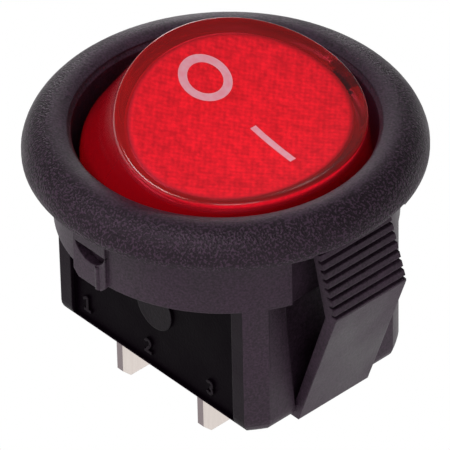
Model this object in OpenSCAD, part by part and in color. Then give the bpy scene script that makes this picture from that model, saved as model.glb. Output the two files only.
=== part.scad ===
// Round panel rocker switch: snap-in housing, translucent see-saw rocker, two blade terminals.
// The origin is the centre of the bezel's underside, which rests on the panel. +Z points out
// of the panel, Y is the rocker's pivot axis and +X is the I end of the rocker.

/* [Bezel] */
// Outside diameter of the bezel
bezel_d = 23; // [20:0.1:30]
// Diameter of the opening that the rocker tilts in
opening_d = 17.34; // [14:0.02:24]
// Radius of the bezel's domed section
dome_r = 1.94; // [1:0.01:4]
// Distance of the dome's centre in from the bezel's edge
dome_inset = 1.9; // [1:0.01:4]
// Distance of the dome's centre below the bezel's underside
dome_drop = 0.1; // [0:0.01:1]
// Chamfer on the edge of the opening
opening_chamfer = 0.25; // [0.1:0.05:0.6]

/* [Barrel and body] */
// Diameter of the barrel that goes through the panel
barrel_d = 19.68; // [17:0.02:26]
// Height of the barrel below the bezel
barrel_h = 4.3; // [3:0.1:8]
// Thickness of the body's walls behind the two latches
end_wall = 1.2; // [0.8:0.05:3]
// Width of the body between the two numbered faces
body_w = 12; // [9:0.1:16]
// Depth of the body below the bezel
body_depth = 13.3; // [10:0.1:25]
// Rounding of the body's bottom edges
body_edge_r = 1; // [0.4:0.1:2]
// Thickness of the barrel's floor
barrel_floor = 0.8; // [0.4:0.1:2]
// Thickness of the body's floor, which holds the terminals
body_floor = 1.8; // [1:0.1:3]
// Width of the chamber that holds the contacts
chamber_w = 9.8; // [7:0.1:11]

/* [Numbered faces] */
// Width of the sunk panel on each long face
panel_w = 13.7; // [8:0.1:15]
// Depth that the panel is sunk
panel_sunk = 0.35; // [0.1:0.05:0.6]
// Height of the lip left below the panel
panel_lip = 0.5; // [0.2:0.1:2]
// Height of the raised numerals
numeral_h = 1.05; // [0.6:0.05:2]
// Height of the numerals above the panel's lower edge
numeral_rise = 0.65; // [0.1:0.05:3]
// Stroke width of the numerals
numeral_stroke = 0.2; // [0.1:0.02:0.4]
// Distance between neighbouring numerals
numeral_pitch = 5.2; // [3:0.1:7]
// Radius of the moulding boss in the panel
disc_r = 1.45; // [0.5:0.05:3]

/* [Latches] */
// Width of a latch arm
latch_w = 5.4; // [3:0.1:8]
// Width of the slot in the barrel that the arm springs into
latch_slot_w = 6.9; // [4:0.1:10]
// Distance of the arm's knee from the centre
knee_x = 11.85; // [10:0.05:14]
// Depth of the knee below the bezel
knee_z = 4.3; // [3:0.1:8]
// Thickness of the arm's top end
latch_t = 0.6; // [0.4:0.05:2]
// Thickness of the arm at its knee
knee_t = 0.85; // [0.5:0.05:2.5]
// Height of the arm's root above the body's bottom
latch_root = 1.6; // [1:0.1:5]
// Depth of the pocket in the body's end wall behind the arm
pocket_depth = 0.65; // [0.2:0.05:0.9]
// Distance of the arm's top end from the centre
latch_top_x = 10.6; // [9:0.05:13]
// Gap between the bezel and the arm's top end
latch_top_gap = 0.5; // [0.2:0.05:1.5]
// Number of grooves across each arm
groove_n = 7; // [3:1:12]
// Depth of a groove
groove_depth = 0.3; // [0.1:0.05:0.6]
// Share of the groove pitch that stays as rib
rib_share = 0.62; // [0.4:0.02:0.8]
// Thickness of the barrel's wall behind the arm
latch_wall = 0.35; // [0.3:0.05:1]
// Relief in the bezel's underside above each arm
latch_relief = 0.12; // [0.05:0.01:0.3]

/* [Rocker] */
// Angle of the rocker in either rest position
rocker_tilt = 15.8; // [6:0.1:20]
// Depth of the pivot axis below the bezel's underside
pivot_z = 2.1; // [0.5:0.1:5]
// Length of the cap's top along X
cap_top_l = 13.08; // [10:0.02:16]
// Width of the cap's top along Y
cap_top_w = 15.34; // [10:0.02:17]
// Height of the middle of the cap's top above the pivot
cap_top_h = 5.03; // [3:0.01:8]
// Radius of the hollow in the cap's top
cap_hollow_r = 22.3; // [15:0.1:80]
// Diameter of the cap's bottom edge
cap_base_d = 17; // [14:0.02:20]
// Height of the cap's bottom edge above the pivot
cap_base_h = 0.6; // [0:0.1:2]
// Thickness of the cap's roof
cap_roof = 1.2; // [0.8:0.05:2]
// Wall thickness of the cap
cap_wall = 0.9; // [0.6:0.05:2]
// Diameter of the pivot pins
pin_d = 2.2; // [1:0.05:4]
// Distance of a pin's end from the centre
pin_end = 9.5; // [8:0.1:11]
// Running clearance round the pins
pin_gap = 0.05; // [0.01:0.01:0.1]
// Thickness of the frame's disc
disc_t = 1; // [0.6:0.05:1.5]
// Width of the frame's ears, which carry the pins
ear_w = 2.6; // [2:0.1:4]
// Outside diameter of the stem
stem_d = 4.4; // [3:0.1:6]
// Length of the stem below the pivot
stem_l = 4.6; // [3:0.1:7]

/* [Plunger and spring] */
// Diameter of the plunger's shaft
plunger_d = 2.56; // [1.5:0.02:4]
// Running clearance round the plunger
plunger_gap = 0.07; // [0.02:0.01:0.1]
// Radius of the plunger's rounded nose
nose_r = 0.8; // [0.4:0.05:1.5]
// Distance of the nose's centre from the pivot
nose_at = 6.26; // [4:0.01:9]
// Depth of the plunger's top below the pivot
plunger_top = 2.4; // [1:0.1:4]
// Wire diameter of the spring
wire_d = 0.26; // [0.1:0.02:0.5]
// Mean diameter of the spring
coil_d = 1.9; // [1:0.05:3]
// Turns of the spring
coil_turns = 5; // [3:1:9]

/* [Contacts] */
// Depth of the contact blade's pivot below the bezel
blade_z = 9.6; // [7:0.1:14]
// Angle of each arm of the blade when level
blade_bend = 12; // [4:0.5:20]
// Angle of the blade in either rest position
blade_tilt = 7.9; // [3:0.1:12]
// Thickness of the blade
blade_t = 0.35; // [0.2:0.05:0.8]
// Width of the blade
blade_w = 4.4; // [2:0.1:6]
// Length of the blade's contact arm
blade_long = 6; // [4:0.1:8]
// Length of the blade's free arm
blade_short = 2.9; // [2:0.1:5]
// Distance of the moving contact from the blade's pivot
contact_at = 5; // [3:0.1:7]
// Radius of the contact heads
contact_r = 1.1; // [0.6:0.05:2]
// Height of the contact heads
contact_h = 0.45; // [0.2:0.05:1]
// Radius of the contacts' domed faces
contact_dome = 3; // [2:0.1:8]
// Gap left between the closed contacts
contact_gap = 0.02; // [0.005:0.005:0.05]
// Thickness of the ribs on the body's floor
rib_t = 0.7; // [0.4:0.05:1.5]
// Length of the ribs on the body's floor
rib_w = 3.2; // [2:0.1:6]

/* [Terminals] */
// Distance between terminal positions
terminal_pitch = 7; // [5:0.1:9]
// Width of a terminal blade
terminal_w = 4.8; // [2.8:0.1:6.3]
// Thickness of a terminal blade
terminal_t = 0.5; // [0.5:0.1:0.8]
// Width of the line terminal's foot
foot_w = 4; // [2.5:0.1:5]
// Depth of a terminal's tip below the bezel
terminal_tip = 19.7; // [15:0.1:30]
// Diameter of the hole in a terminal
terminal_hole_d = 1.7; // [1:0.1:2.5]
// Clearance between a terminal and its slot
terminal_gap = 0.02; // [0.01:0.01:0.1]

/* [Hidden] */
$fn = 96;
chamber_l = 2 * (terminal_pitch + terminal_t / 2 + 0.15);
body_l = chamber_l + 2 * end_wall;
bezel_r = bezel_d / 2;
opening_r = opening_d / 2;
barrel_r = barrel_d / 2;
opening_top = sqrt(dome_r * dome_r - pow(bezel_r - dome_inset - opening_r, 2)) - dome_drop;
floor_z = -barrel_h + barrel_floor;
chamber_z = -body_depth + body_floor;
panel_y = body_w / 2 - panel_sunk;
panel_z = -body_depth + panel_lip;
numeral_z = panel_z + numeral_rise + numeral_h / 2;
relief = 0.13;
disc_z = -8.5;
boss_y = barrel_r + 0.14;
boss_w = 2.7;
boss_x = -0.45;
step_w = 9.4;
boss_z = -barrel_h - 0.45;
skin_y = boss_y - 0.3;
window_r = pin_d / 2 + 0.2;
window_z = -pivot_z - 0.15;
latch_root_z = -body_depth + latch_root;
groove_pitch = (knee_z - latch_top_gap) / groove_n;
pocket_x = body_l / 2 - pocket_depth;
stem_roof = 0.2;
closed_angle = blade_bend - blade_tilt;
contact_low = -blade_z + contact_at * sin(closed_angle)
    + (contact_dome - contact_h) * cos(closed_angle) - contact_dome;
fixed_x = -contact_at * cos(closed_angle) + (contact_dome - contact_h) * sin(closed_angle);
fixed_top = contact_low - contact_gap;
foot_top = fixed_top - contact_h;
stop_x = blade_short * cos(blade_bend) - rib_t;
shank_r = 0.5;
shoulder_w = terminal_w + 1;
shoulder_h = 0.6;
prong_in = 1.8;
prong_top = -blade_z + 0.9;
tab_z = (-terminal_tip - body_depth) / 2 - 0.4;

nylon = [0.13, 0.11, 0.12];
red = [0.85, 0.08, 0.12, 0.75];
tinned = [0.83, 0.80, 0.79];
brass = [0.78, 0.62, 0.32];
copper = [0.76, 0.44, 0.28];
silver = [0.88, 0.88, 0.88];
steel = [0.70, 0.71, 0.73];

// Quarter arc of a rounded edge, as points from angle a to angle b
function arc(cx, cy, r, a, b, n = 6) =
    [for (i = [0:n]) [cx + r * cos(a + (b - a) * i / n), cy + r * sin(a + (b - a) * i / n)]];

// Outer face of a latch arm between its top end and its knee
function latch_x(z) =
    latch_top_x + (knee_x - latch_top_x) * (-latch_top_gap - z) / (knee_z - latch_top_gap);

// ---- housing ----

// Half section of the domed bezel ring
module bezel_section() {
    difference() {
        intersection() {
            translate([bezel_r - dome_inset, -dome_drop]) circle(r = dome_r);
            translate([opening_r, 0]) square([bezel_r - opening_r, dome_r]);
        }
        translate([opening_r, opening_top]) rotate(45)
            square(opening_chamfer * sqrt(2), center = true);
    }
}

// Slab outline with its two bottom corners rounded
module slab_section(w) {
    h = w / 2;
    r = body_edge_r;
    polygon(concat([[h, 0]], arc(h - r, -body_depth + r, r, 0, -90),
        arc(-h + r, -body_depth + r, r, -90, -180), [[-h, 0]]));
}

// Body below the barrel: a round column cut to four flats, every bottom edge rounded
module body_block() {
    intersection() {
        rotate_extrude()
            polygon(concat([[0, 0], [0, -body_depth]],
                arc(barrel_r - body_edge_r, -body_depth + body_edge_r, body_edge_r, -90, 0),
                [[barrel_r, 0]]));
        rotate([90, 0, 0]) linear_extrude(barrel_d, center = true) slab_section(body_l);
        rotate([90, 0, 90]) linear_extrude(barrel_d, center = true) slab_section(body_w);
    }
}

// Flat boss on the barrel round a pivot hole, on the -Y side, with a half-round rib
module pivot_boss() {
    translate([boss_x, -barrel_r + 1.5, 0]) rotate([90, 0, 0])
        linear_extrude(boss_y - barrel_r + 1.5)
            polygon([[-boss_w / 2, 0.1], [-boss_w / 2, boss_z + 0.4], [-boss_w / 2 + 0.4, boss_z],
                [boss_w / 2 - 0.4, boss_z], [boss_w / 2, boss_z + 0.4], [boss_w / 2, 0.1]]);
    translate([0.2, -boss_y + 0.1, boss_z]) cylinder(h = window_z - 0.95 - boss_z, r = 0.2);
}

// Bore for a pivot pin, its window to the outside and the groove that leads the pin in
module pivot_socket() {
    translate([0, 0, -pivot_z]) rotate([90, 0, 0]) cylinder(h = skin_y, d = pin_d + 2 * pin_gap);
    translate([boss_x + 0.1, 0, 0]) intersection() {
        translate([0, 0, window_z + 0.35]) rotate([90, 0, 0]) cylinder(h = bezel_r, r = window_r);
        translate([-window_r, -bezel_r, window_z - 2]) cube([2 * window_r, bezel_r - opening_r, 2]);
    }
    translate([-pin_d / 2, -opening_r - 0.3, -pivot_z]) cube([pin_d, 1, pivot_z + 0.7]);
}

// Stroke along an arc
module arc_stroke(r, from, to) {
    n = 10;
    polygon(concat(arc(0, 0, r, from, to, n), arc(0, 0, r - numeral_stroke, to, from, n)));
}

module numeral_1() {
    square([numeral_stroke, numeral_h], center = true);
    translate([-0.3, numeral_h / 2 - 0.32]) rotate(35) square([0.45, numeral_stroke * 0.9]);
    translate([0, -numeral_h / 2 + numeral_stroke / 2]) square([0.6, numeral_stroke], center = true);
}

module numeral_2() {
    r = numeral_h * 0.29;
    translate([0, numeral_h / 2 - r]) arc_stroke(r, -30, 170);
    polygon([[-r, -numeral_h / 2 + 0.1], [-r + 0.25, -numeral_h / 2 + 0.1],
        [r * 0.87, numeral_h / 2 - r * 1.5], [r * 0.87 - 0.17, numeral_h / 2 - r * 1.4]]);
    translate([-r, -numeral_h / 2]) square([2 * r, numeral_stroke]);
}

module numeral_3() {
    r = numeral_h * 0.25 + numeral_stroke / 4;
    translate([0, numeral_h / 2 - r]) arc_stroke(r, -90, 160);
    translate([0, -numeral_h / 2 + r]) arc_stroke(r, -160, 90);
}

// Raised numerals 1, 2 and 3 over the three terminal positions
module numerals() {
    for (i = [0:2])
        translate([(i - 1) * numeral_pitch - 0.55, -panel_y + 0.05, numeral_z]) rotate([90, 0, 0])
            linear_extrude(relief + 0.05)
                if (i == 0) numeral_1(); else if (i == 1) numeral_2(); else numeral_3();
}

// Sunk panel in the -Y face
module panel_recess() {
    translate([-panel_w / 2, -barrel_r, panel_z])
        cube([panel_w, barrel_r - panel_y, -barrel_h - panel_z]);
}

// Side outline of a latch arm with its grooved face
module latch_section() {
    grooves = [for (i = [0:groove_n - 1], k = [0:3])
        let (top = -latch_top_gap - i * groove_pitch, low = top - groove_pitch * rib_share,
             z = [top, low, low - 0.04, top - groove_pitch + 0.04][k])
        [latch_x(z) - (k > 1 ? groove_depth : 0), z]];
    polygon(concat(grooves,
        [[knee_x, -knee_z], [knee_x, -knee_z - 0.15], [body_l / 2 + 0.1, -body_depth],
         [pocket_x - 0.2, -body_depth], [pocket_x - 0.2, latch_root_z - 0.6],
         [body_l / 2 - 0.3, latch_root_z - 0.6], [body_l / 2, latch_root_z],
         [knee_x - knee_t, -knee_z - 0.3], [latch_top_x - latch_t, -latch_top_gap]]));
}

module latch_arm() {
    rotate([90, 0, 0]) linear_extrude(latch_w, center = true) latch_section();
}

// Room round a latch arm: the slot in the barrel and the tapered pocket in the body's face
module latch_room() {
    translate([opening_r + latch_wall, -latch_slot_w / 2, -barrel_h - 0.05])
        cube([knee_x, latch_slot_w, barrel_h + 0.05 + latch_relief]);
    translate([pocket_x, 0, 0]) rotate([90, 0, 90])
        linear_extrude(barrel_r)
            polygon([[-latch_slot_w / 2, -barrel_h], [latch_slot_w / 2, -barrel_h],
                [latch_w / 2 + 0.15, latch_root_z - 0.6], [-latch_w / 2 - 0.15, latch_root_z - 0.6]]);
}

// Shallow step in a latch face beside the corner columns, running out towards the bottom
module latch_face_step() {
    low = -body_depth + 3;
    rotate([90, 0, 0]) linear_extrude(step_w, center = true)
        polygon([[body_l / 2 - 0.1, -barrel_h], [barrel_r, -barrel_h], [barrel_r, low], [body_l / 2, low]]);
}

// Slots through the floor for the terminals, and the blind third position
module terminal_slots() {
    w = terminal_w + 2 * terminal_gap;
    t = terminal_t + 2 * terminal_gap;
    for (x = [-terminal_pitch, 0])
        translate([x - t / 2, -w / 2, -body_depth - 1]) cube([t, w, body_floor + 2]);
    translate([terminal_pitch - t / 2, -w / 2, -body_depth - 1]) cube([t, w, 1.8]);
}

// Ribs on the floor: one under the line terminal's foot and the free arm's stop
module floor_ribs() {
    foot_low = foot_top - terminal_t - 0.01;
    stop_top = -blade_z + stop_x * tan(closed_angle) - 0.03;
    translate([-terminal_pitch + terminal_t, -rib_w / 2, chamber_z - 0.1])
        cube([rib_t, rib_w, foot_low - chamber_z + 0.1]);
    translate([stop_x, -rib_w / 2, chamber_z - 0.1]) cube([rib_t, rib_w, stop_top - chamber_z + 0.1]);
}

module housing() {
    color(nylon) {
        difference() {
            union() {
                rotate_extrude() bezel_section();
                translate([0, 0, -barrel_h]) cylinder(h = barrel_h + 0.6, r = barrel_r);
                body_block();
                for (a = [0, 180]) rotate([0, 0, a]) pivot_boss();
            }
            translate([0, 0, floor_z]) cylinder(h = -floor_z + 3, r = opening_r);
            translate([-chamber_l / 2, -chamber_w / 2, chamber_z])
                cube([chamber_l, chamber_w, floor_z - chamber_z + 1]);
            intersection() {
                translate([0, 0, floor_z - 0.55]) cylinder(h = 1, r = opening_r - 0.07);
                cube([barrel_d, chamber_w, barrel_d], center = true);
            }
            for (a = [0, 180]) rotate([0, 0, a]) {
                pivot_socket();
                panel_recess();
                latch_room();
                latch_face_step();
            }
            terminal_slots();
        }
        for (a = [0, 180]) rotate([0, 0, a]) {
            latch_arm();
            translate([0.1, -panel_y + 0.1, disc_z]) rotate([90, 0, 0]) cylinder(h = 0.1 + relief, r = disc_r);
        }
        numerals();
        floor_ribs();
    }
}

// ---- rocker ----

// Places children in the rocker's own frame, whose origin is on the pivot axis
module at_rocker() {
    translate([0, 0, -pivot_z]) rotate([0, rocker_tilt, 0]) children();
}

// Oval frustum from a round base up to an oval, drawn past the top
module oval_tower(base_d, base_h, l, l_h, w, w_h, top_h) {
    l_top = base_d + (l - base_d) * (top_h - base_h) / (l_h - base_h);
    w_top = base_d + (w - base_d) * (top_h - base_h) / (w_h - base_h);
    hull() {
        translate([0, 0, base_h]) cylinder(h = 0.01, d = base_d);
        translate([0, 0, top_h]) resize([l_top, w_top, 0.01]) cylinder(h = 0.01, d = base_d);
    }
}

module rocker_cap() {
    end_h = cap_top_h + cap_hollow_r - sqrt(pow(cap_hollow_r, 2) - pow(cap_top_l / 2, 2));
    roof_h = cap_top_h - cap_roof;
    plug_h = cap_base_h + disc_t + 0.02;
    color(red) at_rocker() difference() {
        oval_tower(cap_base_d, cap_base_h, cap_top_l, end_h, cap_top_w, cap_top_h, end_h + 0.5);
        translate([0, 0, cap_top_h + cap_hollow_r]) rotate([90, 0, 0])
            cylinder(h = cap_base_d + 2, r = cap_hollow_r, center = true, $fn = 240);
        oval_tower(cap_base_d - 2 * cap_wall - 0.6, plug_h - 0.2, cap_top_l - 2 * cap_wall - 0.6,
            cap_top_h, cap_top_w - 2 * cap_wall - 0.2, cap_top_h, roof_h);
        translate([0, 0, -1]) cylinder(h = 1 + plug_h, d = cap_base_d - 2 * cap_wall - 0.1);
        translate([-ear_w / 2 - 0.1, -cap_base_d, 0])
            cube([ear_w + 0.2, 2 * cap_base_d, pin_d / 2 + 0.15]);
    }
}

module rocker_frame() {
    plug_r = cap_base_d / 2 - cap_wall - 0.1;
    ear_y = opening_r - 0.47;
    color(nylon) at_rocker() difference() {
        union() {
            translate([0, 0, cap_base_h]) cylinder(h = disc_t, r = plug_r);
            translate([-ear_w / 2, -ear_y, 0.2 - pin_d / 2])
                cube([ear_w, 2 * ear_y, cap_base_h + pin_d / 2 - 0.1]);
            translate([-plug_r + 1.3, -0.6, -0.6]) cube([2 * plug_r - 2.6, 1.2, cap_base_h + 0.7]);
            translate([0, 0, -stem_l]) cylinder(h = stem_l + cap_base_h, d = stem_d);
            rotate([90, 0, 0]) cylinder(h = 2 * pin_end, d = pin_d, center = true);
        }
        translate([0, 0, -stem_l - 1])
            cylinder(h = stem_l + 1 + stem_roof, r = plunger_d / 2 + plunger_gap);
    }
}

// Round wire swept along a helix, with its end turns closed up
module helix(r, wire_r, turns, height) {
    steps = 20 * turns;
    sides = 8;
    function rise(u) = (u < 1 ? 0 : u > turns - 1 ? 1 : (u - 1) / (turns - 2));
    pts = [for (i = [0:steps], k = [0:sides - 1])
        let (a = 360 * turns * i / steps, b = 360 * k / sides, u = turns * i / steps,
             z = wire_r + 2.2 * wire_r * min(u, 1) + 2.2 * wire_r * max(u - turns + 1, 0)
                 + rise(u) * (height - 2 * wire_r - 4.4 * wire_r))
        [(r + wire_r * cos(b)) * cos(a), (r + wire_r * cos(b)) * sin(a), z + wire_r * sin(b)]];
    faces = [for (i = [0:steps - 1], k = [0:sides - 1])
        let (n = (k + 1) % sides)
        [i * sides + k, (i + 1) * sides + k, (i + 1) * sides + n, i * sides + n]];
    polyhedron(pts, concat(faces, [[for (k = [0:sides - 1]) k]],
        [[for (k = [sides - 1:-1:0]) steps * sides + k]]));
}

module plunger_spring() {
    color(steel) at_rocker() translate([0, 0, -plunger_top + 0.01])
        helix(coil_d / 2, wire_d / 2, coil_turns, plunger_top + stem_roof - 0.02);
}

module plunger() {
    shaft_low = -nose_at + nose_r + 0.1;
    color([0.92, 0.91, 0.87]) at_rocker() {
        translate([0, 0, shaft_low]) cylinder(h = -plunger_top - shaft_low, d = plunger_d);
        translate([0, 0, -nose_at]) cylinder(h = nose_at + shaft_low + 0.1, r = nose_r);
        translate([0, 0, -nose_at]) sphere(r = nose_r);
    }
}

// ---- contacts ----

// Places children on the blade's contact arm: X along the arm, Z=0 its underside
module at_contact_arm() {
    translate([0, 0, -blade_z]) rotate([0, closed_angle, 0]) children();
}

module contact_blade() {
    half = blade_t / cos(blade_bend);
    l = [blade_long * cos(blade_bend), blade_long * sin(blade_bend)];
    s = [blade_short * cos(blade_bend), blade_short * sin(blade_bend)];
    color(copper) difference() {
        translate([0, 0, -blade_z]) rotate([0, -blade_tilt, 0]) difference() {
            rotate([90, 0, 0]) linear_extrude(blade_w, center = true)
                polygon([[0, 0], s, [s[0], s[1] + half], [0, half], [-l[0], l[1] + half], [-l[0], l[1]]]);
            for (y = [-1, 1])
                translate([0, y * (prong_in - 0.1 + 1), 0]) cube([1, 2, 2], center = true);
        }
        at_contact_arm() translate([-contact_at, 0, -1]) cylinder(h = 2, r = shank_r + 0.01);
    }
}

// Rivet with a domed head below, its shank up through the sheet and a flat upset head
module contact_rivet(sheet) {
    intersection() {
        translate([0, 0, -contact_h]) cylinder(h = contact_h, r = contact_r);
        translate([0, 0, contact_dome - contact_h]) sphere(r = contact_dome);
    }
    translate([0, 0, -0.1]) cylinder(h = sheet + 0.15, r = shank_r);
    translate([0, 0, sheet]) cylinder(h = 0.15, r = contact_r * 0.8);
}

module moving_contact() {
    color(silver) at_contact_arm() translate([-contact_at, 0, 0])
        contact_rivet(blade_t);
}

module fixed_contact() {
    color(silver) translate([fixed_x, 0, foot_top]) {
        cylinder(h = contact_h, r = contact_r);
        translate([0, 0, -terminal_t - 0.05]) cylinder(h = terminal_t + 0.1, r = shank_r);
        translate([0, 0, -terminal_t - 0.2]) cylinder(h = 0.2, r = contact_r * 0.8);
    }
}

// ---- terminals ----

// Flat outline of a terminal from its chamfered tip up to its shoulders
module terminal_outline(top) {
    w = terminal_w / 2;
    c = 0.6;
    difference() {
        union() {
            polygon([[-w, -terminal_tip + c], [-w + c, -terminal_tip], [w - c, -terminal_tip],
                [w, -terminal_tip + c], [w, top], [-w, top]]);
            translate([-shoulder_w / 2, chamber_z + 0.01]) square([shoulder_w, shoulder_h]);
        }
        translate([0, tab_z]) circle(d = terminal_hole_d);
    }
}

module upright(x) {
    translate([x - terminal_t / 2, 0, 0]) rotate([90, 0, 90]) linear_extrude(terminal_t) children();
}

module line_terminal() {
    foot_end = fixed_x + contact_r + 0.1;
    color(tinned) difference() {
        union() {
            upright(-terminal_pitch) terminal_outline(foot_top);
            translate([-terminal_pitch - terminal_t / 2, -foot_w / 2, foot_top - terminal_t])
                cube([foot_end + terminal_pitch + terminal_t / 2, foot_w, terminal_t]);
        }
        translate([fixed_x, 0, foot_top - 1]) cylinder(h = 2, r = shank_r + 0.01);
    }
}

module common_terminal() {
    color(tinned) upright(0) difference() {
        terminal_outline(prong_top);
        translate([-prong_in, -blade_z]) square([2 * prong_in, 3]);
    }
}

housing();
rocker_cap();
rocker_frame();
plunger_spring();
plunger();
contact_blade();
moving_contact();
fixed_contact();
line_terminal();
common_terminal();
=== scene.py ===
import math

import bpy
from mathutils import Matrix, Vector


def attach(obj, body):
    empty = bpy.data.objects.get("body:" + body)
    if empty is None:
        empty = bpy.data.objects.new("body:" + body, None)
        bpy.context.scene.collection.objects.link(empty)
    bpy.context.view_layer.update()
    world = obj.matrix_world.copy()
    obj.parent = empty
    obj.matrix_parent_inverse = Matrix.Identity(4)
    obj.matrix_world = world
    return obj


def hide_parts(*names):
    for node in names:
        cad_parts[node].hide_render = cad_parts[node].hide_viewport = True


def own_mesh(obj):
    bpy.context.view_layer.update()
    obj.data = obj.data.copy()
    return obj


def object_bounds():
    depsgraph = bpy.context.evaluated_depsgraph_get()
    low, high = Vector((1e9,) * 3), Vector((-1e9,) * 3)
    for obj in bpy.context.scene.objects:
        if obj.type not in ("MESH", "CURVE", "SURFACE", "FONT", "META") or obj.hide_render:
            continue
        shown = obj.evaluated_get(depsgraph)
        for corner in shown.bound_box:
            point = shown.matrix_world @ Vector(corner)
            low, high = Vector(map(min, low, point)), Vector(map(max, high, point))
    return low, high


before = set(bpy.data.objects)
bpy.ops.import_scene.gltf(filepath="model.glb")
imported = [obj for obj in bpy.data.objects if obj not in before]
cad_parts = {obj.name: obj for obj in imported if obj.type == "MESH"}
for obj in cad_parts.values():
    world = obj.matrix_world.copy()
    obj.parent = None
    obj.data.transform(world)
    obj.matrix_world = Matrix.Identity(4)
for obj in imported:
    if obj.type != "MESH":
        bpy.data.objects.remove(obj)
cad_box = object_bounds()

# ---------------------------------------------------------------------------------------
# Housing. The bezel, barrel, body and both spring arms are one moulding of black nylon, and
# the arms snap it into its panel. The spark-eroded mould leaves its coarsest grain on the
# bezel's outer band, drawn there with painted glints, and the sunk panels on the body's sides
# get a painted shade for the shadow under the barrel.
mm = 0.001
smooth_r, grained_r = 9.6 * mm, 10.6 * mm
panel_low_y, panel_face_y, numeral_y, panel_rim_y = 5.6 * mm, 5.74 * mm, 5.79 * mm, 6.03 * mm
panel_half_l, panel_top_z = 7.78 * mm, -4.31 * mm


def srgb(code):
    shares = [int(code[i:i + 2], 16) / 255 for i in (0, 2, 4)]
    return [s / 12.92 if s <= 0.04045 else ((s + 0.055) / 1.055) ** 2.4 for s in shares] + [1.0]


def add(owner, kind, spot, inputs, stops=(), **settings):
    # A new material already has its shader and output, which are found by their names.
    tree = owner.node_tree
    node = tree.nodes.get(kind) or tree.nodes.new(kind)
    node.location = spot
    for name, value in settings.items():
        setattr(node, name, value)
    for name, value in inputs.items():
        if isinstance(value, bpy.types.NodeSocket):
            tree.links.new(value, node.inputs[name])
        else:
            node.inputs[name].default_value = value
    for number, (position, code) in enumerate(stops):
        node.color_ramp.elements[number].position = position
        node.color_ramp.elements[number].color = srgb(code)
    return node.outputs


def dress(node, material):
    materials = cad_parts[node].data.materials
    materials.clear()
    materials.append(material)


# Black nylon looks warm black and semi-matt. The grain is 0.13 mm, a little coarser than the
# real one so that it shows, over a broad and faint unevenness from the flow of the plastic.
nylon = bpy.data.materials.new("black_nylon")
nylon.use_nodes = True
place = add(nylon, "ShaderNodeTexCoord", (-2100, 0), {})["Object"]
xyz = add(nylon, "ShaderNodeSeparateXYZ", (-1900, 500), {"Vector": place})
flat = add(nylon, "ShaderNodeVectorMath", (-1900, 300), {0: place, 1: (1.0, 1.0, 0.0)},
           operation="MULTIPLY")["Vector"]
radius = add(nylon, "ShaderNodeVectorMath", (-1700, 300), {0: flat}, operation="LENGTH")["Value"]
band = add(nylon, "ShaderNodeMapRange", (-1500, 300),
           {"Value": radius, "From Min": smooth_r, "From Max": grained_r},
           interpolation_type="SMOOTHSTEP")["Result"]
above = add(nylon, "ShaderNodeMath", (-1500, 600), {0: xyz["Z"], 1: 0.0},
            operation="GREATER_THAN")[0]
coarse = add(nylon, "ShaderNodeMath", (-1300, 400), {0: band, 1: above}, operation="MULTIPLY")[0]

# The sunk panels are found by their place and get a painted shade, a darker colour and less
# reflection, for the shadow under the barrel. The numerals on them get a little less of it.
depth = add(nylon, "ShaderNodeMath", (-1700, 800), {0: xyz["Y"]}, operation="ABSOLUTE")[0]
breadth = add(nylon, "ShaderNodeMath", (-1700, 1400), {0: xyz["X"]}, operation="ABSOLUTE")[0]
panel_shade = add(nylon, "ShaderNodeMapRange", (-1500, 800),
             {"Value": depth, "From Min": panel_face_y, "From Max": numeral_y,
              "To Min": 1.0, "To Max": 0.8})["Result"]
for row, (measure, test, limit) in enumerate((
        (depth, "GREATER_THAN", panel_low_y), (depth, "LESS_THAN", panel_rim_y),
        (breadth, "LESS_THAN", panel_half_l), (xyz["Z"], "LESS_THAN", panel_top_z))):
    within = add(nylon, "ShaderNodeMath", (-1500, 1000 + 200 * row), {0: measure, 1: limit},
                 operation=test)[0]
    panel_shade = add(nylon, "ShaderNodeMath", (-1300 + 100 * row, 900), {0: panel_shade, 1: within},
                 operation="MULTIPLY")[0]

grain = add(nylon, "ShaderNodeTexNoise", (-1700, 0),
            {"Vector": place, "Scale": 7.5 / mm, "Detail": 1.0, "Roughness": 0.5})["Fac"]
flow = add(nylon, "ShaderNodeTexNoise", (-1700, -300),
           {"Vector": place, "Scale": 0.26 / mm, "Detail": 4.0, "Roughness": 0.55})["Fac"]
speck = add(nylon, "ShaderNodeMix", (-1100, 300), {0: 0.4, 2: grain, 3: flow},
            data_type="FLOAT")[0]
# On the bezel's outer band the grain's colour is sharpened into bright specks. They are partly
# real grain and partly painted glints of its rough surface.
painted_glint = add(nylon, "ShaderNodeMapRange", (-1300, 0),
              {"Value": grain, "From Min": 0.4, "From Max": 0.7})["Result"]
grain_with_glint = add(nylon, "ShaderNodeMix", (-1000, 100), {0: coarse, 2: speck, 3: painted_glint},
             data_type="FLOAT")[0]
tone = add(nylon, "ShaderNodeValToRGB", (-900, 300), {"Fac": grain_with_glint},
           stops=((0.36, "140c12"), (0.66, "3e2c3c")))["Color"]
# Painted shade: in the sunk panels the colour turns near black.
shaded_tone = add(nylon, "ShaderNodeMix", (-500, 400), {0: panel_shade, 6: tone, 7: srgb("080208")},
           data_type="RGBA")[2]
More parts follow.
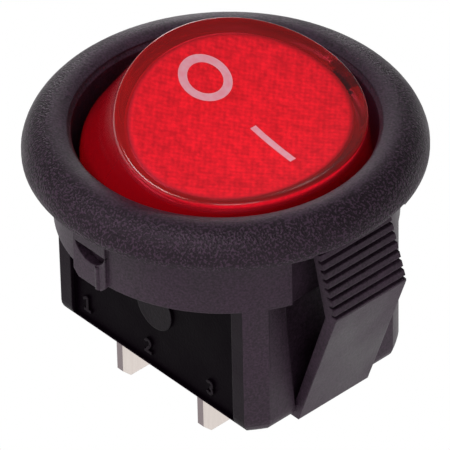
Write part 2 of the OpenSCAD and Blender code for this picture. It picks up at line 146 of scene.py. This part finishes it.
# Painted shade: the sunk panels also reflect less.
shaded_shine = add(nylon, "ShaderNodeMapRange", (-500, 700),
            {"Value": panel_shade, "To Min": 0.4, "To Max": 0.02})["Result"]
rough = add(nylon, "ShaderNodeMapRange", (-900, 0),
            {"Value": flow, "From Min": 0.3, "From Max": 0.7,
             "To Min": 0.42, "To Max": 0.58})["Result"]
grit = add(nylon, "ShaderNodeMapRange", (-900, -250),
           {"Value": coarse, "To Min": 0.2, "To Max": 1.0})["Result"]
edge = add(nylon, "ShaderNodeBevel", (-900, -500), {"Radius": 0.12 * mm}, samples=4)["Normal"]
bump = add(nylon, "ShaderNodeBump", (-500, -300),
           {"Strength": grit, "Distance": 0.07 * mm, "Height": grain, "Normal": edge})["Normal"]
add(nylon, "Principled BSDF", (10, 300),
    {"Base Color": shaded_tone, "Roughness": rough, "IOR": 1.5, "Specular IOR Level": shaded_shine,
     "Specular Tint": (1.0, 0.78, 0.97, 1.0), "Normal": bump})
dress("housing", nylon)

# ---------------------------------------------------------------------------------------
# Terminals. Two blades stamped from brass sheet and tinned, pressed through slots in the
# housing's floor. The tin is satin, rolling leaves faint lines along it, and the sheared
# edges are duller.
tin = bpy.data.materials.new("tinned_brass")
tin.use_nodes = True
place = add(tin, "ShaderNodeTexCoord", (-1200, 0), {})["Object"]
along = add(tin, "ShaderNodeMapping", (-1000, 0),
            {"Vector": place, "Scale": (1.0, 1.0, 0.08)})["Vector"]
lines = add(tin, "ShaderNodeTexNoise", (-800, 0),
            {"Vector": along, "Scale": 5.0 / mm, "Detail": 3.0})["Fac"]
tone = add(tin, "ShaderNodeValToRGB", (-500, 200), {"Fac": lines},
           stops=((0.3, "dcd2cc"), (0.7, "e6dcd6")))["Color"]
facing = add(tin, "ShaderNodeNewGeometry", (-1200, 600), {})["True Normal"]
xyz = add(tin, "ShaderNodeSeparateXYZ", (-1000, 600), {"Vector": facing})
sideways = add(tin, "ShaderNodeMath", (-800, 600), {0: xyz["Y"]}, operation="ABSOLUTE")[0]
sheared = add(tin, "ShaderNodeMath", (-600, 600), {0: sideways, 1: 0.4},
              operation="GREATER_THAN")[0]
cut = add(tin, "ShaderNodeMix", (-200, 400), {0: sheared, 6: tone, 7: srgb("8c8082")},
          data_type="RGBA")[2]
rough = add(tin, "ShaderNodeMapRange", (-500, -100),
            {"Value": lines, "To Min": 0.34, "To Max": 0.44})["Result"]
edge = add(tin, "ShaderNodeBevel", (-500, -400), {"Radius": 0.06 * mm}, samples=4)["Normal"]
add(tin, "Principled BSDF", (10, 300),
    {"Base Color": cut, "Metallic": 1.0, "Roughness": rough, "Normal": edge})
dress("line_terminal", tin)
dress("common_terminal", tin)

# ---------------------------------------------------------------------------------------
# Contact parts. A bent blade of copper alloy rocks on the common terminal and carries a
# silver rivet, which meets another in the line terminal's foot. The plunger that rocks it is
# white acetal, and the spring behind it is steel wire. Their tone and polish vary a little.
inner = {}
for name, low, high, metallic, roughness, clouds_per_mm, nodes in (
        ("copper_alloy", "b0704c", "cf8f66", 1.0, 0.34, 1.5, ("contact_blade",)),
        ("silver_contact", "cfcfcd", "ececea", 1.0, 0.3, 2.5, ("moving_contact", "fixed_contact")),
        ("spring_steel", "9da0a6", "c4c7cc", 1.0, 0.26, 4.0, ()),
        ("white_acetal", "d9d6cc", "efede5", 0.0, 0.42, 0.9, ("plunger",))):
    inner[name] = bpy.data.materials.new(name)
    inner[name].use_nodes = True
    place = add(inner[name], "ShaderNodeTexCoord", (-1000, 0), {})["Object"]
    cloud = add(inner[name], "ShaderNodeTexNoise", (-800, 0),
                {"Vector": place, "Scale": clouds_per_mm / mm, "Detail": 3.0})["Fac"]
    tone = add(inner[name], "ShaderNodeValToRGB", (-500, 200), {"Fac": cloud},
               stops=((0.0, low), (1.0, high)))["Color"]
    rough = add(inner[name], "ShaderNodeMapRange", (-500, -100),
                {"Value": cloud, "To Min": roughness - 0.08, "To Max": roughness + 0.1})["Result"]
    add(inner[name], "Principled BSDF", (10, 300),
        {"Base Color": tone, "Metallic": metallic, "Roughness": rough})
    for node in nodes:
        dress(node, inner[name])

# ---------------------------------------------------------------------------------------
# Rocker frame. A moulding of the same black nylon, with two pins that turn in bores in the
# housing. Its stem holds the spring and plunger, and its disc carries the lens. What is made
# here for the rocker is drawn upright over the pins, and then seated at the resting tilt.
tilt = math.radians(15.8)
pivot = Vector((0.0, 0.0, -2.1 * mm))
seat = Matrix.Translation(pivot) @ Matrix.Rotation(tilt, 4, "Y")
dress("rocker_frame", nylon)

# ---------------------------------------------------------------------------------------
# Plunger spring. A coil of steel wire with closed ends, pressed between the roof of the
# stem's bore and the plunger. Its upper end stays on the roof, and the coil is drawn at
# one length, though the real one shortens as the plunger goes up.
wire_r, coil_r = 0.13 * mm, 0.95 * mm
coil_low, coil_high, plunger_travel = -2.39 * mm, 0.19 * mm, 0.4 * mm
coil_turns, steps_a_turn, wire_sides = 5, 20, 8
closed_pitch = 2.2 * wire_r
open_rise = coil_high - coil_low - 2 * wire_r - 2 * closed_pitch

bpy.ops.object.select_all(action="DESELECT")
bpy.ops.mesh.primitive_circle_add(vertices=wire_sides, radius=1.0, fill_type="NOTHING")
spring = bpy.context.object
spring.name = "spring_coil"
bpy.ops.object.mode_set(mode="EDIT")
bpy.ops.mesh.select_all(action="SELECT")
for step in range(steps_a_turn * coil_turns):
    bpy.ops.mesh.extrude_region_move(TRANSFORM_OT_translate={"value": (0, 0, 1)})
bpy.ops.mesh.select_all(action="SELECT")
bpy.ops.mesh.fill_holes(sides=0)
bpy.ops.object.mode_set(mode="OBJECT")

# The straight rod of unit steps is wound up: each ring's height says how many turns it is on.
for vertex in spring.data.vertices:
    turns = round(vertex.co.z) / steps_a_turn
    angle = 2 * math.pi * turns
    closed_turns = min(turns, 1.0) + max(turns - coil_turns + 1, 0.0)
    open_share = min(max((turns - 1) / (coil_turns - 2), 0.0), 1.0)
    height = coil_low + wire_r + closed_pitch * closed_turns + open_rise * open_share
    out = coil_r + wire_r * vertex.co.x
    vertex.co = Vector((out * math.cos(angle), out * math.sin(angle),
                        height + wire_r * vertex.co.y))
spring.data.transform(seat)
bpy.ops.object.mode_set(mode="EDIT")
bpy.ops.mesh.select_all(action="SELECT")
bpy.ops.mesh.normals_make_consistent(inside=False)
bpy.ops.object.mode_set(mode="OBJECT")
bpy.ops.object.shade_smooth()
spring.data.materials.append(inner["spring_steel"])
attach(spring, "rocker")
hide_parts("plunger_spring")
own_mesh(spring)

# ---------------------------------------------------------------------------------------
# Rocker cap. A lens moulded in clear red polycarbonate, oval at its rim and round at its
# base, that snaps over the frame's disc. Its top is hollowed along the tilt, and the wall
# under it is the usual 0.8 mm of a small moulded lens.
segments = 128
base_r, base_h = 8.5 * mm, 0.62 * mm
rim_l, rim_w, rim_round = 6.54 * mm, 7.67 * mm, 0.2 * mm
lip_l, lip_w = 0.03 * mm, 0.01 * mm
hollow_r, hollow_h = 22.3 * mm, 5.03 * mm
roof_l, roof_w, wall = 5.82 * mm, 6.87 * mm, 0.8 * mm
socket_l, socket_w, socket_h = 7.55 * mm, 7.6 * mm, 1.62 * mm


def top_height(x):
    return hollow_h + hollow_r - math.sqrt(hollow_r * hollow_r - x * x)


# Rings of the shell, from the middle of its underside out and over to the middle of its top:
# half length, half width, height, and what the height counts from. That is a share of the
# way from the base up to the rim, or else the hollowed top, from above or from below.
on_top, under_top = 2.0, 3.0
roof_shares = (0.2, 0.4, 0.6, 0.8, 0.92, 1.0)
rings = [(roof_l * share, roof_w * share, wall, under_top) for share in roof_shares]
rings += [(roof_l + 0.13 * mm, roof_w + 0.13 * mm, wall + 0.1 * mm, under_top),
          (roof_l + 0.2 * mm, roof_w + 0.2 * mm, wall + 0.4 * mm, under_top),
          (socket_l - 0.15 * mm, socket_w - 0.1 * mm, socket_h + 0.18 * mm, 0.0),
          (socket_l - 0.05 * mm, socket_w, socket_h + 0.02 * mm, 0.0),
          (socket_l, socket_w, socket_h, 0.0),
          (socket_l + 0.03 * mm, socket_w + 0.02 * mm, base_h + 0.08 * mm, 0.0),
          (socket_l + 0.11 * mm, socket_w + 0.1 * mm, base_h, 0.0),
          (base_r - 0.08 * mm, base_r - 0.08 * mm, base_h, 0.0)]
for share in (0.02, 0.15, 0.3, 0.45, 0.6, 0.75, 0.88, 0.95):
    rings.append((base_r + (rim_l - base_r) * share, base_r + (rim_w - base_r) * share,
                  base_h, share))
for angle in (10, 30, 50, 70, 90):
    inward = rim_round * (1.0 - math.cos(math.radians(angle)))
    drop = rim_round * (1.0 - math.sin(math.radians(angle)))
    rings.append((rim_l + lip_l - inward, rim_w + lip_w - inward, -drop, 1.0))
for share in (0.95, 0.9, 0.84, 0.76, 0.68, 0.58, 0.48, 0.38, 0.28, 0.18, 0.08):
    rings.append((rim_l * share, rim_w * share, 0.0, on_top))

bpy.ops.object.select_all(action="DESELECT")
bpy.ops.mesh.primitive_circle_add(vertices=segments, radius=1.0, fill_type="NOTHING")
cap = bpy.context.object
cap.name = "cap_lens"
bpy.ops.object.mode_set(mode="EDIT")
bpy.ops.mesh.select_all(action="SELECT")
for ring in rings[1:]:
    bpy.ops.mesh.extrude_region_move(TRANSFORM_OT_translate={"value": (0, 0, 1)})
bpy.ops.mesh.select_all(action="SELECT")
bpy.ops.mesh.fill_holes(sides=0)
bpy.ops.mesh.select_all(action="DESELECT")
bpy.ops.mesh.select_face_by_sides(number=4, type="GREATER")
bpy.ops.mesh.poke()
bpy.ops.object.mode_set(mode="OBJECT")

# The straight tube of unit steps is shaped ring by ring, and its first faces are the roof.
clear_slot, facet_slot = 0, 1
for face in cap.data.polygons:
    is_roof = face.center.z < len(roof_shares) - 1
    face.material_index = facet_slot if is_roof else clear_slot
for vertex in cap.data.vertices:
    half_l, half_w, height, kind = rings[round(vertex.co.z)]
    out = math.hypot(vertex.co.x, vertex.co.y)
    along, across = (vertex.co.x / out, vertex.co.y / out) if out > 0.5 else (0.0, 0.0)
    if kind == under_top:
        z = top_height(half_l * along) - height
    elif kind == on_top:
        z = top_height(half_l * along)
    elif kind == 1.0:
        z = top_height(rim_l * along) + height
    else:
        z = height + (top_height(rim_l * along) - rim_round - height) * kind
    vertex.co = Vector((half_l * along, half_w * across, z))
cap.data.transform(seat)
bpy.ops.object.mode_set(mode="EDIT")
bpy.ops.mesh.select_all(action="SELECT")
bpy.ops.mesh.normals_make_consistent(inside=False)
bpy.ops.object.mode_set(mode="OBJECT")
bpy.ops.object.shade_smooth()

# Clear red polycarbonate is glossy outside. Its side wall looks slightly cloudy and a deeper
# red, because there the light goes a long way through the plastic.
lens = bpy.data.materials.new("red_lens")
lens.use_nodes = True
place = add(lens, "ShaderNodeTexCoord", (-1200, 0), {})["Object"]
cloud = add(lens, "ShaderNodeTexNoise", (-1000, 0),
            {"Vector": place, "Scale": 0.4 / mm, "Detail": 3.0})["Fac"]
tone = add(lens, "ShaderNodeValToRGB", (-700, 100), {"Fac": cloud},
           stops=((0.3, "f0445f"), (0.7, "fa4c6c")))["Color"]
upright = add(lens, "ShaderNodeMapping", (-1400, 500),
              {"Vector": place, "Location": pivot, "Rotation": (0.0, tilt, 0.0)},
              vector_type="TEXTURE")["Vector"]
xyz = add(lens, "ShaderNodeSeparateXYZ", (-1200, 500), {"Vector": upright})
square = add(lens, "ShaderNodeMath", (-1000, 500), {0: xyz["X"], 1: xyz["X"]},
             operation="MULTIPLY")[0]
hollow = add(lens, "ShaderNodeMath", (-800, 500), {0: square, 1: 0.5 / hollow_r, 2: hollow_h},
             operation="MULTIPLY_ADD")[0]
under = add(lens, "ShaderNodeMath", (-600, 500), {0: hollow, 1: xyz["Z"]},
            operation="SUBTRACT")[0]
skirt = add(lens, "ShaderNodeMapRange", (-600, 700),
            {"Value": under, "From Min": 0.15 * mm, "From Max": 0.7 * mm})["Result"]
clear = add(lens, "ShaderNodeMapRange", (-400, 500),
            {"Value": skirt, "To Min": 1.0, "To Max": 0.55})["Result"]
deep = add(lens, "ShaderNodeMix", (-400, 200), {0: skirt, 6: tone, 7: srgb("cc0a20")},
           data_type="RGBA")[2]
wavy = add(lens, "ShaderNodeBump", (-700, -300),
           {"Strength": 0.15, "Distance": 0.05 * mm, "Height": cloud})["Normal"]
add(lens, "Principled BSDF", (10, 300),
    {"Base Color": deep, "Roughness": 0.13, "IOR": 1.58, "Transmission Weight": clear,
     "Normal": wavy})

# Diffusing texture: fine square facets moulded into the underside of the top catch the light.
# They are drawn 0.2 mm wide, a little coarser than the real ones so that they show, and the
# mould's polish varies a little over them. The border past the oval is plain, and its dark
# colour is a painted shade for the dark inside of the rocker seen through the clear rim.
facet_pair = 0.42 * mm
facets = bpy.data.materials.new("red_diffuser")
facets.use_nodes = True
place = add(facets, "ShaderNodeTexCoord", (-1900, 0), {})["Object"]
upright = add(facets, "ShaderNodeMapping", (-1700, 0),
              {"Vector": place, "Location": pivot, "Rotation": (0.0, tilt, 0.0)},
              vector_type="TEXTURE")["Vector"]
xyz = add(facets, "ShaderNodeSeparateXYZ", (-1500, 0), {"Vector": upright})
waves = []
for row, axis in enumerate("XY"):
    phase = add(facets, "ShaderNodeMath", (-1300, -200 * row),
                {0: xyz[axis], 1: 2 * math.pi / facet_pair}, operation="MULTIPLY")[0]
    waves.append(add(facets, "ShaderNodeMath", (-1100, -200 * row), {0: phase},
                     operation="SINE")[0])
weave = add(facets, "ShaderNodeMath", (-900, -100), {0: waves[0], 1: waves[1]},
            operation="MULTIPLY")[0]
cells = add(facets, "ShaderNodeMapRange", (-700, -100),
            {"Value": weave, "From Min": -1.0, "To Min": 0.34, "To Max": 0.66})["Result"]
cloud = add(facets, "ShaderNodeTexNoise", (-1300, 300),
            {"Vector": upright, "Scale": 1.9 / mm, "Detail": 4.0, "Roughness": 0.65})["Fac"]
mixed = add(facets, "ShaderNodeMix", (-500, 100), {0: 0.7, 2: cells, 3: cloud},
            data_type="FLOAT")[0]
tone = add(facets, "ShaderNodeValToRGB", (-300, 200), {"Fac": mixed},
           stops=((0.38, "cc3048"), (0.62, "fa4a60")))["Color"]
oval = add(facets, "ShaderNodeVectorMath", (-1300, 600),
           {0: upright, 1: (1.0 / roof_l, 1.0 / roof_w, 0.0)}, operation="MULTIPLY")["Vector"]
reach = add(facets, "ShaderNodeVectorMath", (-1100, 600), {0: oval}, operation="LENGTH")["Value"]
ragged = add(facets, "ShaderNodeMath", (-900, 600), {0: cloud, 1: 0.06, 2: reach},
             operation="MULTIPLY_ADD")[0]
# Painted shade: past the oval the colour turns dark, for the dark inside seen through the plain
# rim.
painted_rim_shade = add(facets, "ShaderNodeMapRange", (-700, 600),
           {"Value": ragged, "From Min": 0.985, "From Max": 1.06},
           interpolation_type="SMOOTHSTEP")["Result"]
facet_tone_shaded = add(facets, "ShaderNodeMix", (0, 300), {0: painted_rim_shade, 6: tone, 7: srgb("400810")},
             data_type="RGBA")[2]
bump = add(facets, "ShaderNodeBump", (-300, -300),
           {"Strength": 0.5, "Distance": 0.03 * mm, "Height": mixed})["Normal"]
add(facets, "Principled BSDF", (10, 300),
    {"Base Color": facet_tone_shaded, "Roughness": 0.45, "Normal": bump})

cap.data.materials.append(lens)
cap.data.materials.append(facets)
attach(cap, "rocker")
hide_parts("rocker_cap")

# ---------------------------------------------------------------------------------------
# Printed marks. O for off and I for on, pad-printed in white on the hollowed top. The ink is
# thin and slightly worn, so a little of the red shows through.
ink = bpy.data.materials.new("white_print")
ink.use_nodes = True
place = add(ink, "ShaderNodeTexCoord", (-1000, 0), {})["Object"]
wear = add(ink, "ShaderNodeTexNoise", (-800, 0),
           {"Vector": place, "Scale": 2.6 / mm, "Detail": 3.0})["Fac"]
tone = add(ink, "ShaderNodeValToRGB", (-500, 0), {"Fac": wear},
           stops=((0.35, "ffa2b2"), (0.65, "ffb6c4")))["Color"]
add(ink, "Principled BSDF", (10, 300), {"Base Color": tone, "Roughness": 0.5})

o_outer_r, o_inner_r, o_x = 1.58 * mm, 1.05 * mm, -3.13 * mm
i_l, i_w, i_x = 3.3 * mm, 0.42 * mm, 2.63 * mm
ink_lift = 0.015 * mm
bpy.ops.object.select_all(action="DESELECT")
bpy.ops.mesh.primitive_circle_add(vertices=96, radius=o_outer_r, fill_type="NOTHING")
mark_o = bpy.context.object
mark_o.name = "mark_o"
bpy.ops.object.mode_set(mode="EDIT")
bpy.ops.mesh.select_all(action="SELECT")
bpy.ops.mesh.extrude_region_move()
bpy.ops.transform.resize(value=(o_inner_r / o_outer_r, o_inner_r / o_outer_r, 1.0))
bpy.ops.object.mode_set(mode="OBJECT")
bpy.ops.object.select_all(action="DESELECT")
bpy.ops.mesh.primitive_grid_add(x_subdivisions=16, y_subdivisions=2, size=1.0)
mark_i = bpy.context.object
mark_i.name = "mark_i"
mark_i.data.transform(Matrix.Diagonal((i_l, i_w, 1.0, 1.0)))
for piece, shift in ((mark_o, o_x), (mark_i, i_x)):
    for vertex in piece.data.vertices:
        x = vertex.co.x + shift
        vertex.co = Vector((x, vertex.co.y, top_height(x) + ink_lift))
    piece.data.transform(seat)
    piece.data.materials.append(ink)
    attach(piece, "rocker")

# Light goes on through the lens, its texture and the thin ink, and takes their colour with it,
# so the shadow inside the cap is red rather than black.
for material, tint in ((lens, "ffb4cc"), (facets, "f06478"), (ink, "e0e0e0")):
    is_shadow = add(material, "ShaderNodeLightPath", (0, 500), {})["Is Shadow Ray"]
    surface = material.node_tree.nodes["Principled BSDF"].outputs["BSDF"]
    through = add(material, "ShaderNodeBsdfTransparent", (0, 100), {"Color": srgb(tint)})["BSDF"]
    blend = add(material, "ShaderNodeMixShader", (300, 200),
                {"Fac": is_shadow, 1: surface, 2: through})["Shader"]
    add(material, "Material Output", (500, 300), {"Surface": blend})

# ---------------------------------------------------------------------------------------
# Floor. A sheet of pale paper just under the terminals' tips. It takes the switch's shadow,
# and the camera, metal and clear plastic see it as plain white.
bpy.ops.object.select_all(action="DESELECT")
bpy.ops.mesh.primitive_plane_add(size=4.0, location=(0.0, 0.0, cad_box[0][2] - 0.02 * mm))
floor = bpy.context.object
floor.name = "floor"
paper = bpy.data.materials.new("floor_paper")
paper.use_nodes = True
matt = add(paper, "Principled BSDF", (10, 300),
           {"Base Color": (0.8, 0.8, 0.8, 1.0), "Roughness": 0.9})["BSDF"]
white = add(paper, "ShaderNodeEmission", (0, -200), {})["Emission"]
rays = add(paper, "ShaderNodeLightPath", (0, 300), {})
seen = add(paper, "ShaderNodeMath", (100, 300),
           {0: rays["Is Camera Ray"], 1: rays["Is Glossy Ray"]}, operation="MAXIMUM")[0]
seen_too = add(paper, "ShaderNodeMath", (200, 400),
               {0: rays["Is Transmission Ray"], 1: seen}, operation="MAXIMUM")[0]
blend = add(paper, "ShaderNodeMixShader", (300, 0), {"Fac": seen_too, 1: matt, 2: white})["Shader"]
add(paper, "Material Output", (500, 300), {"Surface": blend})
floor.data.materials.append(paper)

# ---------------------------------------------------------------------------------------
# Studio. Three soft lights in a dim white room: the key from above the numbered face, a fill
# from the right, and a low rim light from behind.
world = bpy.data.worlds.new("studio")
world.use_nodes = True
bpy.context.scene.world = world
add(world, "Background", (10, 300), {"Color": (1.0, 1.0, 1.0, 1.0), "Strength": 0.17})
for name, spot, energy, size in (
        ("key", (-0.06, -0.24, 0.40), 1.2, 0.25),
        ("fill", (0.30, -0.16, 0.25), 0.3, 0.2),
        ("rim", (-0.30, 0.24, 0.09), 0.3, 0.16)):
    light = bpy.data.lights.new(name, "AREA")
    light.energy = energy
    light.size = size
    lamp = bpy.data.objects.new(name, light)
    lamp.location = spot
    lamp.rotation_euler = (-Vector(spot)).to_track_quat("-Z", "Y").to_euler()
    bpy.context.scene.collection.objects.link(lamp)
bpy.context.scene.view_settings.view_transform = "Standard"

# ---------------------------------------------------------------------------------------
# Camera. It stands to the right of the numbered face and looks down on the rocker. The lens
# is long, so the switch shows almost without perspective.
azimuth, elevation, roll = math.radians(48.22), math.radians(37.10), math.radians(1.255)
distance, aim_right, aim_down = 337.33 * mm, -0.1273 * mm, 4.5138 * mm
back = Vector((math.sin(azimuth) * math.cos(elevation),
               -math.cos(azimuth) * math.cos(elevation), math.sin(elevation)))
right = Vector((math.cos(azimuth), math.sin(azimuth), 0.0))
up = back.cross(right)
look = (-back * distance + right * aim_right - up * aim_down).normalized()
side = Matrix.Rotation(roll, 3, look) @ look.cross(up).normalized()
long_lens = bpy.data.cameras.new("camera")
long_lens.sensor_width = 36.0
long_lens.lens = 480.0
long_lens.clip_start = 0.01
long_lens.clip_end = 5.0
camera = bpy.data.objects.new("camera", long_lens)
bpy.context.scene.collection.objects.link(camera)
camera.matrix_world = Matrix.Translation(back * distance) @ Matrix(
    (side, side.cross(look), -look)).transposed().to_4x4()
bpy.context.scene.camera = camera
